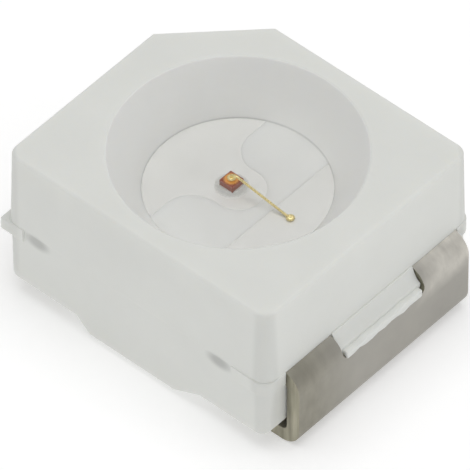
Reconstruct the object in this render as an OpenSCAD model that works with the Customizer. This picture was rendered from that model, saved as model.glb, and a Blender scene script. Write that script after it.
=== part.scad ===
// Surface-mount LED: a white moulded body with a reflector cup, two bent leads,
// and a die and bond wire cast in clear resin.
// +X is the anode end, +Z is up, and the solder tabs rest on Z = 0.

/* [Body] */
// Length of the upper half at the parting line
body_l = 3.155; // [2.7:0.005:3.9]
// Width of the upper half at the parting line
body_w = 2.815; // [2.4:0.005:3.5]
// Height of the upper half, from the leads' upper faces to the top face
upper_h = 0.88; // [0.75:0.01:1.2]
// Wall draft of the upper half, in degrees
upper_draft = 1; // [0.5:0.5:4]
// Wall draft of the lower half, in degrees
lower_draft = 0.5; // [0.5:0.5:4]
// Radius of the upright corners at the parting line
corner_r = 0.13; // [0.1:0.01:0.2]
// Leg of the corner chamfer that marks the cathode
chamfer = 0.82; // [0.4:0.01:0.9]
// How much shorter the lower half is at each end
end_step = 0.0025; // [0:0.0025:0.05]
// How much narrower the lower half is at each side
side_step = 0.01; // [0:0.005:0.04]

/* [Underside] */
// Height of the middle block's underside above the board
block_z = 0.08; // [0.03:0.01:0.1]
// Height of the end recesses that the solder tabs fold under
recess_z = 0.23; // [0.2:0.005:0.3]
// Radius of the lower edges at both ends
end_r = 0.1; // [0.05:0.01:0.25]
// Underside of the middle block towards the cathode
block_cathode = 0.57; // [0.4:0.01:0.62]
// Underside of the middle block towards the anode
block_anode = 0.45; // [0.3:0.01:0.55]
// Run of the block's slope at the cathode side
slope_cathode = 0.16; // [0.08:0.01:0.2]
// Run of the block's slope at the anode side
slope_anode = 0.32; // [0.1:0.01:0.35]
// Diameter of the round gate recess in the underside
gate_d = 0.5; // [0.3:0.05:0.7]
// Depth of the gate recess
gate_depth = 0.04; // [0.02:0.01:0.08]

/* [Reflector cup] */
// Wall left between the cup's rim and the long sides of the top face
rim_wall = 0.195; // [0.12:0.005:0.3]
// Slope of the cup's wall from upright, in degrees
cup_slope = 19.4; // [10:0.2:26]
// How far below the rim the resin meets the cup's wall
resin_edge = 0.01; // [0.005:0.005:0.04]
// Dip of the resin's surface at its middle
resin_dip = 0.03; // [0.01:0.005:0.08]

/* [Leads] */
// Height of the leads' upper faces above the board
lead_top = 0.92; // [0.8:0.01:1.1]
// Thickness of the lead sheet
lead_t = 0.15; // [0.12:0.005:0.18]
// Sheet left out of the body's width at each side of a lead
lead_margin = 0.24; // [0.2:0.005:0.35]
// Sideways offset of the leads from the body's middle
lead_shift = 0.03; // [0:0.01:0.08]
// Clearance between the lower half's end walls and the upright leads
lead_clear = 0.015; // [0.01:0.005:0.06]
// Outer radius of the bends
bend_r = 0.22; // [0.18:0.01:0.24]
// Length of the solder tabs, measured from the leads' outer faces
tab_l = 0.79; // [0.6:0.01:0.85]
// Width of the notch between a lead's two legs
notch_w = 1.12; // [0.8:0.02:1.3]
// Height of the notch's lower edge above the board
notch_z = 0.69; // [0.68:0.005:0.72]
// Radius of the notch's lower corners
notch_r = 0.08; // [0.04:0.01:0.08]
// Depth of the notch's root inside the lower half's end wall
notch_root = 0.16; // [0.05:0.01:0.2]
// How far the moulded noses in the notches stay behind the leads' outer faces
nose_back = 0.05; // [0.01:0.01:0.08]
// Fall of a nose's top from the leads' upper faces, at its root
nose_shoulder = 0.01; // [0.01:0.01:0.05]
// Fall of a nose's top from the leads' upper faces, at its tip
nose_fall = 0.13; // [0.08:0.01:0.15]
// Length of the full-width stretch of a lead inside the body
strip_in = 0.61; // [0.4:0.01:0.65]
// Width of the trimmed tie bars
tie_w = 0.28; // [0.15:0.01:0.35]
// Distance from the body's end to the cathode's tie bars
tie_inset_cathode = 0.385; // [0.3:0.005:0.45]
// Distance from the body's end to the anode's tie bars
tie_inset_anode = 0.575; // [0.5:0.005:0.65]
// Depth of the trimmed ends below the long walls
tie_depth = 0.05; // [0.02:0.01:0.1]

/* [Pads] */
// How far the pads run under the cup's wall
pad_lap = 0.08; // [0.04:0.01:0.12]
// Width of the tongue that carries the die
tongue_w = 0.54; // [0.4:0.02:0.6]
// Reach of the tongue's tip past the middle
tongue_tip = 0.28; // [0.24:0.01:0.32]
// Reach of the cathode's wide pad towards the middle
cathode_edge = 0.36; // [0.3:0.01:0.4]
// Radius in the corners beside the tongue
tongue_fillet = 0.3; // [0.15:0.01:0.32]
// Gap between the tongue and the anode's pad
pad_gap = 0.14; // [0.1:0.01:0.2]

/* [Die and bond] */
// Side of the square die
die_s = 0.16; // [0.14:0.01:0.26]
// Height of the die
die_h = 0.17; // [0.12:0.01:0.22]
// Position of the die along the body
die_x = -0.06; // [-0.1:0.01:0.04]
// Position of the die across the body
die_y = -0.02; // [-0.05:0.01:0.05]
// Thickness of the glue under the die
bond_line = 0.015; // [0.01:0.005:0.03]
// Radius of the glue's foot
glue_r = 0.165; // [0.16:0.005:0.25]
// Radius of the glue where it meets the die
glue_top_r = 0.1; // [0.08:0.005:0.15]
// Height that the glue climbs up the die
glue_h = 0.06; // [0.03:0.01:0.09]
// Diameter of the bond wire
wire_d = 0.028; // [0.02:0.002:0.04]
// Diameter of the gold balls
ball_d = 0.085; // [0.06:0.005:0.1]
// Height of the gold balls
ball_h = 0.05; // [0.04:0.005:0.07]
// Upright rise of the wire above its ball
neck_h = 0.02; // [0.01:0.005:0.05]
// Radius of the wire's loop
loop_r = 0.055; // [0.04:0.005:0.08]
// Distance from the anode pad's edge to the second bond
stitch_inset = 0.2; // [0.1:0.005:0.25]
// Position of the second bond across the body
stitch_y = 0.025; // [-0.05:0.005:0.1]

/* [Trimmed plastic] */
// How far the cathode end's trimmed stub stands out of the end wall
stub_out = 0.05; // [0.02:0.005:0.08]
// How far the stub stands out of the long wall
stub_proud = 0.012; // [0:0.002:0.02]
// Clearance between the leads' edges and the plastic beside them
mould_clear = 0.01; // [0.005:0.005:0.04]

/* [Hidden] */
$fn = 64;

// Overlap between shapes of one solid that would only share a face
lap = 0.02;
// A reach past every side of the body, for cuts
beyond = body_l;
overall_h = lead_top + upper_h;
lead_low = lead_top - lead_t;
lower_l = body_l - 2 * end_step;
lower_w = body_w - 2 * side_step;
lower_h = lead_top - block_z;

// Leads: the inner face of the upright part keeps its clearance to the lower half.
upright_in = lower_l / 2 + lead_clear;
upright_out = upright_in + lead_t;
bend_x = upright_out - bend_r;
lead_w = body_w - 2 * lead_margin;
lead_y = lead_shift - lead_w / 2;
strip_x = lower_l / 2 - strip_in;
notch_x = lower_l / 2 - notch_root;
tie_cathode = body_l / 2 - tie_inset_cathode;
tie_anode = body_l / 2 - tie_inset_anode;
tie_end = body_w / 2 - tie_depth;

// Cup, and the pads that close its floor.
rim_r = body_w / 2 - upper_h * tan(upper_draft) - rim_wall;
floor_r = rim_r - upper_h * tan(cup_slope);
pad_w = 2 * (floor_r + pad_lap);
anode_edge = tongue_tip + pad_gap;
edge_r = rim_r - resin_edge * tan(cup_slope);
dip_r = (edge_r * edge_r + resin_dip * resin_dip) / (2 * resin_dip);
dip_z = overall_h - resin_edge - resin_dip + dip_r;

// Die, and the wire's path in its own upright plane.
die_z = lead_top + bond_line;
die_top = die_z + die_h;
stitch_x = anode_edge + stitch_inset;
wire_r = wire_d / 2;
wire_heading = atan2(stitch_y - die_y, stitch_x - die_x);
wire_span = norm([stitch_x - die_x, stitch_y - die_y]);
loop_z = die_top + ball_h + neck_h;
foot_z = lead_top + wire_r / 2;
chord = norm([wire_span - loop_r, loop_z - foot_z]);
wire_fall = atan2(loop_z - foot_z, wire_span - loop_r) + asin(loop_r / chord);
wire_run = sqrt(chord * chord - loop_r * loop_r);

// Nose moulded through each lead's notch, as seen from the side.
nose_root = lower_l / 2 - lap;
nose_tip = upright_out - nose_back;
nose_low = notch_z + mould_clear;
nose_profile = [
    [nose_root, lead_top - nose_shoulder],
    [upright_in, lead_top - nose_shoulder],
    [nose_tip, lead_top - nose_fall],
    [nose_tip, nose_low],
    [nose_root, nose_low]
];

// A wall profile that leans in by the same amount on both sides.
module leaning_profile(base, lean, height) {
    polygon([
        [-base / 2, 0],
        [base / 2, 0],
        [base / 2 - lean, height],
        [-base / 2 + lean, height]
    ]);
}

// A block widest at Z = 0, with drafted walls and round upright corners.
module drafted_block(length, width, height, draft) {
    lean = height * tan(draft);
    rotate([90, 0, 0])
        linear_extrude(width - 2 * corner_r, center = true)
            leaning_profile(length, lean, height);
    rotate([90, 0, 90])
        linear_extrude(length - 2 * corner_r, center = true)
            leaning_profile(width, lean, height);
    for (x = [-1, 1], y = [-1, 1])
        translate([x * (length / 2 - corner_r), y * (width / 2 - corner_r), 0])
            cylinder(h = height, r1 = corner_r, r2 = corner_r - lean);
}

module upper_half() {
    difference() {
        translate([0, 0, lead_top])
            drafted_block(body_l, body_w, upper_h, upper_draft);
        cathode_chamfer();
    }
}

// Everything outside the chamfer at the corner (-X, +Y).
module cathode_chamfer() {
    x = -body_l / 2;
    y = body_w / 2;
    translate([0, 0, lead_top - lap])
        linear_extrude(upper_h + 2 * lap)
            polygon([
                [x - beyond, y - chamfer - beyond],
                [x + chamfer + beyond, y + beyond],
                [x - beyond, y + beyond]
            ]);
}

module lower_half() {
    intersection() {
        translate([0, 0, lead_top])
            mirror([0, 0, 1])
                drafted_block(lower_l, lower_w, lower_h, lower_draft);
        rotate([90, 0, 0])
            linear_extrude(2 * beyond, center = true)
                lower_profile();
    }
}

// Side view of the lower half: round lower ends, raised tab recesses, middle block.
module lower_profile() {
    translate([-lower_l / 2, recess_z + end_r])
        square([lower_l, lead_top - recess_z - end_r]);
    translate([-lower_l / 2 + end_r, recess_z])
        square([lower_l - 2 * end_r, end_r + lap]);
    for (x = [-1, 1])
        translate([x * (lower_l / 2 - end_r), recess_z + end_r])
            circle(end_r);
    polygon([
        [-block_cathode - slope_cathode, recess_z + lap],
        [-block_cathode - slope_cathode, recess_z],
        [-block_cathode, block_z],
        [block_anode, block_z],
        [block_anode + slope_anode, recess_z],
        [block_anode + slope_anode, recess_z + lap]
    ]);
}

module noses() {
    width = notch_w - 2 * mould_clear;
    for (side = [0, 1])
        mirror([side, 0, 0])
            intersection() {
                translate([0, lead_shift + width / 2, 0])
                    rotate([90, 0, 0])
                        linear_extrude(width)
                            polygon(nose_profile);
                notch_space(mould_clear);
            }
}

// The space of a notch, with round lower corners, less a clearance all round.
module notch_space(clear) {
    half = notch_w / 2 - clear;
    radius = notch_r - clear;
    translate([notch_x, lead_shift, notch_z + clear])
        rotate([90, 0, 90])
            linear_extrude(beyond) {
                translate([-half, radius])
                    square([2 * half, beyond]);
                translate([-half + radius, 0])
                    square([2 * (half - radius), radius + lap]);
                for (y = [-1, 1])
                    translate([y * (half - radius), radius])
                        circle(radius);
            }
}

// In the leads' layer the corners beside the leads are flush with the upper half.
module corner_belts() {
    reach = body_l / 2 - tie_anode - tie_w / 2 - lap;
    translate([0, 0, lead_low])
        linear_extrude(lead_t + lap)
            difference() {
                body_outline();
                square([body_l - 2 * reach, body_w], center = true);
                translate([0, lead_shift])
                    square([body_l, lead_w + 2 * mould_clear], center = true);
            }
}

// The body's outline at the parting line.
module body_outline() {
    square([body_l - 2 * corner_r, body_w], center = true);
    square([body_l, body_w - 2 * corner_r], center = true);
    for (x = [-1, 1], y = [-1, 1])
        translate([x * (body_l / 2 - corner_r), y * (body_w / 2 - corner_r)])
            circle(corner_r);
}

// Plastic trimmed off at the cathode end's -Y corner.
module trimmed_stub() {
    y = -body_w / 2 - stub_proud;
    stub_in = tie_cathode + tie_w / 2 + lap;
    translate([-body_l / 2 - stub_out, y, lead_low])
        cube([body_l / 2 + stub_out - stub_in, lead_y - mould_clear - y, lead_t]);
}

module cup_space() {
    translate([0, 0, lead_top])
        cylinder(h = upper_h, r1 = floor_r, r2 = rim_r);
}

module gate_recess() {
    translate([(block_anode - block_cathode) / 2, 0, block_z - lap])
        cylinder(h = gate_depth + lap, d = gate_d);
}

// Flat outline of one lead inside the body, drawn for the +X end.
module strip_outline(pad_x, tie_x, arm_y) {
    difference() {
        union() {
            translate([strip_x, lead_y])
                square([bend_x - strip_x, lead_w]);
            translate([pad_x, -pad_w / 2])
                square([strip_x + lap - pad_x, pad_w]);
            translate([tie_x - tie_w / 2, -arm_y])
                square([tie_w, 2 * arm_y]);
        }
        translate([notch_x, lead_shift - notch_w / 2])
            square([beyond, notch_w]);
    }
}

module anode_outline(arm_y) {
    strip_outline(anode_edge, tie_anode, arm_y);
}

module cathode_outline(arm_y) {
    mirror([1, 0])
        strip_outline(cathode_edge, tie_cathode, arm_y);
    tongue_outline();
}

// The die's tongue: a round tip, and hollow corners where it leaves the wide pad.
module tongue_outline() {
    tip_x = tongue_tip - tongue_w / 2;
    translate([tip_x, 0])
        circle(d = tongue_w);
    translate([-cathode_edge - lap, -tongue_w / 2])
        square([cathode_edge + lap + tip_x, tongue_w]);
    for (side = [0, 1])
        mirror([0, side])
            difference() {
                translate([-cathode_edge - lap, tongue_w / 2 - lap])
                    square([tongue_fillet + lap, tongue_fillet + lap]);
                translate([-cathode_edge + tongue_fillet, tongue_w / 2 + tongue_fillet])
                    circle(tongue_fillet);
            }
}

// One quarter bend about an axis along Y, from the X axis to the Z axis.
module quarter_bend() {
    rotate([90, 0, 0])
        rotate_extrude(angle = 90)
            translate([bend_r - lead_t, -lead_w])
                square([lead_t, lead_w]);
}

// The bent part of a lead outside the body, drawn for the +X end.
module outer_lead() {
    difference() {
        translate([0, lead_y, 0]) {
            translate([bend_x, 0, lead_top - bend_r])
                quarter_bend();
            translate([upright_in, 0, bend_r])
                cube([lead_t, lead_w, lead_top - 2 * bend_r]);
            translate([bend_x, 0, bend_r])
                mirror([0, 0, 1])
                    quarter_bend();
            translate([upright_out - tab_l, 0, 0])
                cube([tab_l - bend_r, lead_w, lead_t]);
        }
        notch_space(0);
    }
}

module housing() {
    color("#E9E9E4")
        difference() {
            union() {
                upper_half();
                lower_half();
                noses();
                corner_belts();
                trimmed_stub();
            }
            cup_space();
            gate_recess();
            outer_lead();
            mirror([1, 0, 0])
                outer_lead();
            translate([0, 0, lead_low])
                linear_extrude(lead_t) {
                    cathode_outline(beyond);
                    anode_outline(beyond);
                }
        }
}

module cathode_lead() {
    color("#B4B0A4") {
        translate([0, 0, lead_low])
            linear_extrude(lead_t)
                cathode_outline(tie_end);
        mirror([1, 0, 0])
            outer_lead();
    }
}

module anode_lead() {
    color("#B4B0A4") {
        translate([0, 0, lead_low])
            linear_extrude(lead_t)
                anode_outline(tie_end);
        outer_lead();
    }
}

module die_attach() {
    color("#A9A9A5")
        difference() {
            translate([die_x, die_y, lead_top])
                cylinder(h = glue_h, r1 = glue_r, r2 = glue_top_r);
            led_die();
        }
}

module led_die() {
    color("#B0501E")
        translate([die_x - die_s / 2, die_y - die_s / 2, die_z])
            cube([die_s, die_s, die_h]);
}

// Half section of a gold ball pressed flat against what it is bonded to.
module ball_profile() {
    intersection() {
        translate([0, ball_h / 2])
            circle(d = ball_d);
        square([ball_d, ball_h]);
    }
}

// Ball, neck, loop and straight fall, in the upright plane through both bonds.
module bond_wire() {
    color("#D9B04A")
        difference() {
            translate([die_x, die_y, 0])
                rotate([0, 0, wire_heading])
                    wire_path();
            translate([-beyond, -beyond, lead_low])
                cube([2 * beyond, 2 * beyond, lead_t]);
        }
}

module wire_path() {
    translate([0, 0, die_top])
        rotate_extrude() {
            ball_profile();
            square([wire_r, ball_h + neck_h]);
        }
    translate([loop_r, 0, loop_z]) {
        rotate([90, 0, 0])
            rotate([0, 0, 90 - wire_fall])
                rotate_extrude(angle = 90 + wire_fall)
                    translate([loop_r, 0])
                        circle(wire_r);
        rotate([0, 90 + wire_fall, 0])
            translate([-loop_r, 0, 0])
                cylinder(h = wire_run, r = wire_r);
    }
}

module security_ball() {
    color("#D9B04A")
        difference() {
            translate([stitch_x, stitch_y, lead_top])
                rotate_extrude()
                    ball_profile();
            bond_wire();
        }
}

// Half section of the resin: the cup's wall, and a surface dished by shrinkage.
module resin_profile() {
    difference() {
        polygon([
            [0, lead_top],
            [floor_r, lead_top],
            [rim_r, overall_h],
            [0, overall_h]
        ]);
        translate([0, dip_z])
            circle(dip_r, $fn = 720);
    }
}

module encapsulant() {
    color("#E4E4DC", 0.35)
        difference() {
            rotate_extrude()
                resin_profile();
            die_attach();
            led_die();
            bond_wire();
            security_ball();
        }
}

housing();
cathode_lead();
anode_lead();
die_attach();
led_die();
bond_wire();
security_ball();
encapsulant();
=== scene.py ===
# Surface-mount LED: a white moulded body with a resin-filled reflector cup, on two bent leads.
# Pieces are modelled in millimetres in the frame's axes and brought to metres when finished.

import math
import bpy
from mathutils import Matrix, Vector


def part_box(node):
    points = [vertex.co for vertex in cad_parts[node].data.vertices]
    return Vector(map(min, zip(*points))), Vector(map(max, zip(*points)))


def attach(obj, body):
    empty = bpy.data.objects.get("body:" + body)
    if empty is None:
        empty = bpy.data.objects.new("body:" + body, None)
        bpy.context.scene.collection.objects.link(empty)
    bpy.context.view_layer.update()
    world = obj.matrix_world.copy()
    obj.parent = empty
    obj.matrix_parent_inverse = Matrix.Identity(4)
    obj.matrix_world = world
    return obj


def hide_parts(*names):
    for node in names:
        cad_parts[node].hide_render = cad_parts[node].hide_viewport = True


bl_info = {
    "name": "Surface-mount LED",
    "version": (1, 0, 0),
    "blender": (4, 5, 0),
    "location": "3D View > Sidebar > LED",
    "description": "Models a surface-mount LED with a reflector cup, and the stage it stands on",
    "category": "Object",
}

import bmesh
import bpy
from bpy.props import FloatProperty, FloatVectorProperty, PointerProperty
from mathutils import Vector

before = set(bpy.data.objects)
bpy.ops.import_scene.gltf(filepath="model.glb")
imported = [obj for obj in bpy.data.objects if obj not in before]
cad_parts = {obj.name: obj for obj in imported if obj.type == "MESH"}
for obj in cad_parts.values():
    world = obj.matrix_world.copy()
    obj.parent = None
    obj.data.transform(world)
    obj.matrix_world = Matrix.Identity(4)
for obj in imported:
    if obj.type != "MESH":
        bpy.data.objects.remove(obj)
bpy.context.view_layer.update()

MM = 0.001
BODY = "root"
AXIS_Y = Vector((0, 1, 0))
AXIS_Z = Vector((0, 0, 1))
QUARTER = math.radians(90)

# The CAD's own places, in millimetres.
HOUSING_LOW, HOUSING_HIGH = (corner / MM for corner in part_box("housing"))
CATHODE_LOW, CATHODE_HIGH = (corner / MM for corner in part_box("cathode_lead"))
ANODE_LOW, ANODE_HIGH = (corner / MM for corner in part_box("anode_lead"))
DIE_LOW, DIE_HIGH = (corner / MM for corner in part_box("led_die"))
GLUE_LOW, GLUE_HIGH = (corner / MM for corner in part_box("die_attach"))
STITCH_LOW, STITCH_HIGH = (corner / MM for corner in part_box("security_ball"))
RESIN_LOW, RESIN_HIGH = (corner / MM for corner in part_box("encapsulant"))
DIE_CENTRE = (DIE_LOW + DIE_HIGH) / 2
STITCH_CENTRE = (STITCH_LOW + STITCH_HIGH) / 2
TOP_Z = HOUSING_HIGH.z
LEAD_TOP = ANODE_HIGH.z

# How far parts that are united run into each other, in millimetres: outside, and in the cup.
LAP = 0.02
FINE_LAP = 0.002


# Settings

def length(name, description, millimetres):
    """A length property whose default is given in millimetres."""
    return FloatProperty(
        name=name,
        description=description,
        default=millimetres * MM,
        min=0.0,
        precision=5,
        unit="LENGTH",
    )


def angle(name, description, degrees):
    """An angle property whose default is given in degrees."""
    return FloatProperty(
        name=name,
        description=description,
        default=math.radians(degrees),
        unit="ROTATION",
    )


def colour(name, description, red, green, blue):
    """A colour property with a linear default."""
    return FloatVectorProperty(
        name=name,
        description=description,
        default=(red, green, blue),
        min=0.0,
        max=1.0,
        subtype="COLOR",
    )


class LedHousingSettings(bpy.types.PropertyGroup):
    """Sizes and colours of the moulded body."""

    body_length: length("Length", "Length of the upper half at the parting line", 3.155)
    body_width: length("Width", "Width of the upper half at the parting line", 2 * HOUSING_HIGH.y)
    upper_draft: angle("Upper draft", "Lean of the upper walls", 1.0)
    lower_draft: angle("Lower draft", "Lean of the lower walls", 0.5)
    corner_radius: length("Corner radius", "Radius of the upright corners", 0.13)
    chamfer: length("Chamfer", "Leg of the corner that marks the cathode", 0.82)
    top_edge: length("Top edge", "Softening of the edges round the top face", 0.035)
    rim_edge: length("Rim edge", "Softening of the cup's rim", 0.02)
    end_step: length("End step", "How much shorter the lower half is at each end", 0.0025)
    side_step: length("Side step", "How much narrower the lower half is at each side", 0.01)
    parting_edge: length("Parting edge", "Softening along the parting line", 0.012)
    belt_proud: length("Belt", "How far the corners stand out in the leads' layer", 0.01)
    stub_gap: length("Stub gap", "Gap between the plastic round a corner and the nearest tie bar", 0.02)
    stub_out: length("Stub", "How far the trimmed stub stands out of the end wall", 0.05)
    mould_clear: length("Clearance", "Clearance between the leads' edges and the plastic", 0.01)
    nose_rise: length("Nose rise", "How far the nose's root laps over the parting line", 0.014)
    nose_fall: length("Nose fall", "Fall of the nose's top at its tip", 0.13)
    nose_edge: length("Nose edge", "Rounding of the nose's upper edge", 0.035)
    burr_height: length("Burr height", "Height of the burr along the notch's lower edge", 0.09)
    burr_proud: length("Burr", "How far the burr stands out of the lead's outer face", 0.006)
    recess_z: length("Recess height", "Height of the recesses above the solder tabs", 0.23)
    end_radius: length("End radius", "Radius of the lower edges at both ends", 0.1)
    block_cathode: length("Block, cathode side", "Reach of the middle block's underside", 0.57)
    block_anode: length("Block, anode side", "Reach of the middle block's underside", 0.45)
    slope_cathode: length("Slope, cathode side", "Run of the middle block's slope", 0.16)
    slope_anode: length("Slope, anode side", "Run of the middle block's slope", 0.32)
    gate_diameter: length("Gate", "Diameter of the gate recess in the underside", 0.5)
    gate_depth: length("Gate depth", "Depth of the gate recess", 0.04)
    rim_wall: length("Rim wall", "Wall between the cup's rim and the long sides", 0.195)
    cup_slope: angle("Cup slope", "Lean of the cup's wall from upright", 19.4)
    floor_sink: length("Floor sink", "How far the moulded floor lies under the pads", 0.002)
    plastic: colour("Plastic", "Colour of the white moulding", 0.80, 0.81, 0.775)
    # Painted light: the cup's wall is a lighter copy of the white moulding.
    cup: colour("Cup", "Colour of the cup's wall", 0.965, 0.97, 0.95)
    # Painted shade: the cup's floor is a darker copy of the white moulding.
    cup_floor_shade: colour("Cup floor", "Colour of the moulding at the cup's floor", 0.745, 0.75, 0.735)


class LedLeadSettings(bpy.types.PropertyGroup):
    """Sizes and colours of the two bent leads."""

    thickness: length("Thickness", "Thickness of the lead sheet", 0.15)
    shift: length("Shift", "Sideways offset of the leads", 0.03)
    width: length("Width", "Width of a lead outside the body", 2.335)
    bend_radius: length("Bend radius", "Outer radius of the bends", 0.22)
    tab_length: length("Tab length", "Length of a solder tab from the lead's outer face", 0.79)
    notch_width: length("Notch width", "Width between a lead's two legs", 1.12)
    notch_radius: length("Notch radius", "Radius of the notch's lower corners", 0.08)
    notch_z: length("Notch height", "Height of the notch's lower edge", 0.69)
    notch_x: length("Notch root", "Place of the notch's root along the body", 1.415)
    strip_x: length("Strip", "Where the full-width strip starts inside the body", 0.965)
    tie_width: length("Tie width", "Width of the trimmed tie bars", 0.28)
    tie_sink: length("Tie sink", "How far the tie bars' ends lie under the long walls", 0.03)
    tie_cathode: length("Cathode ties", "Place of the cathode's tie bars", 1.1925)
    tie_anode: length("Anode ties", "Place of the anode's tie bars", 1.0025)
    pad_width: length("Pad width", "Width of the pads under the cup", 1.934)
    cathode_edge: length("Cathode edge", "Reach of the cathode's wide pad", 0.36)
    tongue_width: length("Tongue width", "Width of the tongue under the die", 0.54)
    tongue_fillet: length("Tongue fillet", "Radius beside the tongue", 0.3)
    sheared_edge: length("Sheared edge", "Rounding of the sheet's edges", 0.012)
    plating: colour("Plating", "Colour of the dull silver plating", 0.42, 0.405, 0.37)
    # Darker, more olive tone of the plating towards the -Y side.
    low_y_tone: colour("Low_y_tone", "Colour of the plating where it is darker_to_low_y", 0.335, 0.32, 0.27)
    sheared: colour("Sheared", "Colour of the sheet's sheared edges", 0.40, 0.38, 0.30)
    pad: colour("Pad", "Colour of the bright plating under the resin", 0.60, 0.60, 0.585)


class LedChipSettings(bpy.types.PropertyGroup):
    """Sizes and colours of the die, its glue and its bonds."""

    glue_radius: length("Glue radius", "Radius of the glue's foot", 0.165)
    glue_top: length("Glue top", "Radius of the glue at the die", 0.1)
    ball_diameter: length("Ball", "Diameter of the gold balls", 0.085)
    ball_height: length("Ball height", "Height of the gold balls", 0.05)
    wire_diameter: length("Wire", "Diameter of the bond wire", 0.028)
    neck_height: length("Neck", "Upright rise of the wire above its ball", 0.02)
    loop_radius: length("Loop", "Radius of the wire's loop", 0.055)
    gold: colour("Gold", "Colour of the wire and balls", 0.92, 0.77, 0.38)
    die: colour("Die", "Colour of the die", 0.27, 0.055, 0.02)
    contact: colour("Contact", "Colour of the gold contact on the die's top", 0.80, 0.36, 0.05)
    glue: colour("Glue", "Colour of the silver-filled glue", 0.66, 0.66, 0.64)


class LedResinSettings(bpy.types.PropertyGroup):
    """Shape and tint of the clear resin."""

    dip: length("Dip", "Dip of the surface at its middle", 0.03)
    overlap: length("Overlap", "How far the resin runs into what it touches", 0.004)
    tint: colour("Tint", "Tint of the resin", 0.985, 0.985, 0.97)


class LedStageSettings(bpy.types.PropertyGroup):
    """Camera, floor and lights."""

    azimuth: angle("Azimuth", "Turn of the camera round the LED", 41.42)
    elevation: angle("Elevation", "Height of the camera above the horizon", 47.06)
    distance: length("Distance", "Distance from the camera to its aim", 110.7)
    focal: FloatProperty(name="Focal length", description="Lens for the photograph's frame", default=934.5)
    aim_z: length("Aim height", "Height of the aim's reference", 0.913)
    aim_left: length("Aim left", "How far the frame's middle lies left of the reference", 0.026)
    aim_down: length("Aim down", "How far the frame's middle lies under the reference", 0.1525)
    floor_size: length("Floor", "Side of the floor", 1200.0)
    floor: colour("Floor colour", "Colour of the lit floor", 0.80, 0.80, 0.80)
    floor_glow: FloatProperty(name="Floor glow", description="Light given by the floor", default=0.355)
    sky: FloatProperty(name="Surround", description="Brightness of the surrounding light", default=0.46)
    softbox_size: length("Softbox", "Side of the overhead softbox", 90.0)
    softbox_height: length("Softbox height", "Height of the overhead softbox", 110.0)
    softbox: FloatProperty(
        name="Softbox power", description="Power of the overhead softbox", default=0.0495, unit="POWER"
    )
    side_turn: angle("Side turn", "Turn of the side softbox from the anode end to the back", 36.0)
    side_lift: angle("Side lift", "Height of the side softbox above the horizon", 24.0)
    side_distance: length("Side distance", "Distance of the side softbox", 110.0)
    side_size: length("Side softbox", "Side of the side softbox", 70.0)
    side: FloatProperty(
        name="Side power", description="Power of the side softbox", default=0.008, unit="POWER"
    )


class Millimetres:
    """Reads the lengths of a group of settings in millimetres."""

    def __init__(self, group):
        self.group = group

    def __getattr__(self, name):
        return getattr(self.group, name) / MM


# Modelling

def deselect_all():
    if bpy.context.object and bpy.context.object.mode != "OBJECT":
        bpy.ops.object.mode_set(mode="OBJECT")
    bpy.ops.object.select_all(action="DESELECT")


def make_active(obj):
    deselect_all()
    bpy.context.view_layer.objects.active = obj
    obj.select_set(True)


def keep_place(name):
    """Names the new primitive and moves its place and size into its mesh."""
    obj = bpy.context.object
    obj.name = name
    obj.data.name = name
    bpy.ops.object.transform_apply(location=True, rotation=True, scale=True)
    return obj


def add_block(name, low, high):
    low, high = Vector(low), Vector(high)
    deselect_all()
    bpy.ops.mesh.primitive_cube_add(size=1, location=(low + high) / 2, scale=high - low)
    return keep_place(name)


def add_cone(name, base, radius, top_radius, height, sides=192):
    """A cone or cylinder that stands on its base point."""
    base = Vector(base)
    deselect_all()
    bpy.ops.mesh.primitive_cone_add(
        vertices=sides,
        radius1=radius,
        radius2=top_radius,
        depth=height,
        location=base + AXIS_Z * height / 2,
    )
    return keep_place(name)


def edit(obj):
    make_active(obj)
    bpy.ops.object.mode_set(mode="EDIT")


def choose(obj, kind, test):
    """In edit mode, selects the verts, edges or faces that pass the test."""
    bpy.ops.mesh.select_mode(type={"verts": "VERT", "edges": "EDGE", "faces": "FACE"}[kind])
    bpy.ops.mesh.select_all(action="DESELECT")
    mesh = bmesh.from_edit_mesh(obj.data)
    found = [part for part in getattr(mesh, kind) if test(part)]
    if not found:
        raise RuntimeError(f"{obj.name} has no {kind} there")
    for part in found:
        part.select_set(True)
    mesh.select_flush_mode()
    bmesh.update_edit_mesh(obj.data)


def faces_at(axis, place, slack=1e-4):
    """Test for flat faces that lie at a place along an axis."""
    return lambda face: all(abs(vert.co[axis] - place) < slack for vert in face.verts)


def edges_at(axis, place, slack=1e-4):
    """Test for edges that lie at a place along an axis."""
    return lambda edge: all(abs(vert.co[axis] - place) < slack for vert in edge.verts)


def edges_along(axis):
    """Test for edges that run mostly along an axis."""

    def test(edge):
        run = (edge.verts[1].co - edge.verts[0].co).normalized()
        return abs(run[axis]) > 0.97

    return test


def within(axis, reach):
    """Test for edges whose ends both lie within a reach of the middle, along an axis."""
    return lambda edge: all(abs(vert.co[axis]) < reach for vert in edge.verts)


def centred(axis, reach):
    """Test for faces whose middle lies within a reach of the middle, along an axis."""
    return lambda face: abs(face.calc_center_median()[axis]) < reach


def both(first, second):
    return lambda part: first(part) and second(part)


def bevel_chosen(width, segments):
    bpy.ops.mesh.bevel(
        offset_type="OFFSET", offset=width, segments=segments, affect="EDGES", clamp_overlap=True
    )


def extrude_chosen(move):
    bpy.ops.mesh.extrude_region_move(TRANSFORM_OT_translate={"value": move})


def combine(obj, other, operation):
    """Unites, cuts or trims a solid with another one, which is used up."""
    make_active(obj)
    step = obj.modifiers.new("combine", "BOOLEAN")
    step.operation = operation
    step.solver = "EXACT"
    step.object = other
    bpy.ops.object.modifier_apply(modifier=step.name)
    bpy.data.objects.remove(other)


def cut_through(obj, low, high):
    """Takes away all that lies over a rectangle."""
    tool = add_block("tool", (*low, -TOP_Z), (*high, 2 * TOP_Z))
    combine(obj, tool, "DIFFERENCE")


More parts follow.
